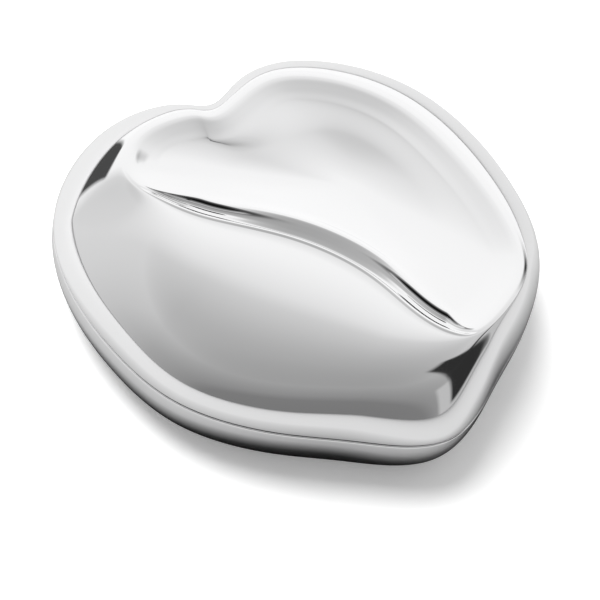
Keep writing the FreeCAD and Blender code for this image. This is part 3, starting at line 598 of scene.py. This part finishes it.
def floor_material():
    """Paper that is white to the eye, lifted by a painted glow; a reflection sees it painted grey, with a
    painted shadow dark round the foot.
    """
    material, tree, shader = new_material("floor", (0.9, 0.9, 0.9), 0.0, 0.7)
    shader.inputs["Specular IOR Level"].default_value = 0.1
    place = tree.nodes.new("ShaderNodeTexCoord")
    distance = tree.nodes.new("ShaderNodeVectorMath")
    distance.operation = "LENGTH"
    tree.links.new(place.outputs["Object"], distance.inputs[0])
    foot = spread(tree, distance.outputs["Value"], 0, 1, *FOOT_SPAN)
    # Painted shadow round the foot, seen only in reflections.
    grey = ramp(tree, foot, [(at, (v, v, v)) for at, v in FLOOR_PAINTED_SHADE])
    rays = tree.nodes.new("ShaderNodeLightPath")
    mix = tree.nodes.new("ShaderNodeMix")
    mix.data_type = "RGBA"
    tree.links.new(grey, mix.inputs["A"])
    mix.inputs["B"].default_value = (1, 1, 1, 1)
    tree.links.new(rays.outputs["Is Camera Ray"], mix.inputs["Factor"])
    tree.links.new(mix.outputs["Result"], shader.inputs["Base Color"])
    # Painted glow: the floor gives off light to the camera, lifting its shadow.
    shader.inputs["Emission Color"].default_value = (1, 1, 1, 1)
    tree.links.new(math_node(tree, "MULTIPLY", rays.outputs["Is Camera Ray"], FLOOR_PAINTED_GLOW),
                   shader.inputs["Emission Strength"])
    return material


def math_node(tree, kind, a, b=None):
    node = tree.nodes.new("ShaderNodeMath")
    node.operation = kind
    for socket, value in zip(node.inputs, (a, b)):
        if value is None:
            continue
        if isinstance(value, (int, float)):
            socket.default_value = value
        else:
            tree.links.new(value, socket)
    return node.outputs[0]


# Brightness of the studio's tent, from the camera's side round to the bright far side.
TENT_STOPS = [(0.0, 0.20), (0.07, 0.21), (0.125, 0.28), (0.285, 0.39),
              (0.5, 0.58), (0.715, 0.70), (0.81, 0.97), (1.0, 1.06)]
BRIGHT_AZIMUTH = 60.0
# Panels in the tent: azimuth, half width, lowest and highest elevation in degrees, brightness.
PANELS = [(-33.0, 42.0, -90.0, 36.0, 0.53),
          (-48.0, 13.0, 4.0, 68.0, 0.028),
          (-15.0, 45.0, 41.0, 47.0, 0.03),
          (99.0, 15.0, -8.0, 26.0, 0.07)]
PANEL_EDGE = 2.0
# The tent's dimming overhead: its two levels, and the heights between which it changes.
OVERHEAD = (1.0, 0.72, 0.86, 1.0)


def smooth_band(tree, value, low, high, edge):
    """One between low and high, falling to nothing over the edge on each side."""
    rise = spread(tree, value, 0, 1, low - edge, low + edge)
    fall = spread(tree, value, 1, 0, high - edge, high + edge)
    return math_node(tree, "MULTIPLY", rise, fall)


def sky(tree):
    """A white tent, darker on the camera's side and overhead, with panels and black flags."""
    place = tree.nodes.new("ShaderNodeTexCoord")
    split = tree.nodes.new("ShaderNodeSeparateXYZ")
    tree.links.new(place.outputs["Generated"], split.inputs[0])
    x, y, z = split.outputs
    angle = math.radians(BRIGHT_AZIMUTH)
    toward = math_node(tree, "ADD", math_node(tree, "MULTIPLY", x, math.cos(angle)),
                       math_node(tree, "MULTIPLY", y, math.sin(angle)))
    level = spread(tree, toward, 0, 1, -1, 1)
    tent = ramp(tree, level, [(at, (v, v, v)) for at, v in TENT_STOPS])
    overhead = spread(tree, z, *OVERHEAD)
    dim = tree.nodes.new("ShaderNodeVectorMath")
    dim.operation = "SCALE"
    tree.links.new(tent, dim.inputs[0])
    tree.links.new(overhead, dim.inputs["Scale"])
    shade = dim.outputs[0]
    azimuth = math_node(tree, "MULTIPLY", math_node(tree, "ARCTAN2", y, x), 180 / math.pi)
    elevation = math_node(tree, "MULTIPLY", math_node(tree, "ARCSINE", z), 180 / math.pi)
    for middle, half, low, high, value in PANELS:
        turned = math_node(tree, "ADD", azimuth, -middle)
        beside = smooth_band(tree, turned, -half, half, PANEL_EDGE)
        inside = math_node(tree, "MULTIPLY", beside, smooth_band(tree, elevation, low, high, PANEL_EDGE))
        mix = tree.nodes.new("ShaderNodeMix")
        mix.data_type = "RGBA"
        mix.inputs["B"].default_value = (value, value, value, 1)
        tree.links.new(inside, mix.inputs["Factor"])
        tree.links.new(shade, mix.inputs["A"])
        shade = mix.outputs["Result"]
    rays = tree.nodes.new("ShaderNodeLightPath")
    mix = tree.nodes.new("ShaderNodeMix")
    mix.data_type = "RGBA"
    mix.inputs["B"].default_value = (1, 1, 1, 1)
    tree.links.new(rays.outputs["Is Camera Ray"], mix.inputs["Factor"])
    tree.links.new(shade, mix.inputs["A"])
    return mix.outputs["Result"]


# The camera's azimuth, elevation and roll in degrees; its distance and aim in metres.
CAMERA_ANGLES = (-44.0, 50.1, 15.0)
CAMERA_DISTANCE = 0.8
CAMERA_AIM = Vector((3.0, 9.5, -10.55)) * MM
AIM_ACROSS = 3.8 * MM
SENSOR = 36.0
LENS = 179.5


def camera():
    """Long lens, looking down on the left lobe and the tip, tipped to one side."""
    azimuth, elevation, roll = [math.radians(angle) for angle in CAMERA_ANGLES]
    back = Vector((math.sin(azimuth) * math.cos(elevation), -math.cos(azimuth) * math.cos(elevation),
                   math.sin(elevation)))
    right = Vector((math.cos(azimuth), math.sin(azimuth), 0))
    up = back.cross(right)
    across = right * math.cos(roll) + up * math.sin(roll)
    above = up * math.cos(roll) - right * math.sin(roll)
    target = CAMERA_AIM + across * AIM_ACROSS
    data = bpy.data.cameras.new("camera")
    data.sensor_width = SENSOR
    data.lens = LENS
    eye = bpy.data.objects.new("camera", data)
    place = Matrix((across, above, back)).transposed().to_4x4()
    place.translation = target + back * CAMERA_DISTANCE
    eye.matrix_world = place
    bpy.context.scene.collection.objects.link(eye)
    bpy.context.scene.camera = eye


# ---- Build ----
materials = make_materials()
dress_frame(materials)

for piece, node, body in ((lid(), "lid_shell", "lid"), (base(), "base_shell", "case")):
    piece.data.materials.append(materials["polished_steel"])
    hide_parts(node)
    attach(piece, body)

# Pads: name, CAD node, body, slot, voxel size in metres, rounds of smoothing, fill.
SOFT_PIECES = (("velvet_tray", "jewel_tray", "case", "velvet", 0.0006, 3, 0.9),
               ("velvet_lining", "lid_liner", "lid", "velvet", 0.0004, 2, 0.8),
               ("felt_pad", "felt_base_pad", "case", "felt", 0.0003, 1, 1.0))
for name, node, body, slot, voxel, relax, fill in SOFT_PIECES:
    piece = soft_copy(name, node, voxel, relax)
    piece.data.materials.append(materials[slot])
    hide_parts(node)
    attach(piece, body)

studio()
camera()
bpy.context.scene.view_settings.view_transform = "Standard"
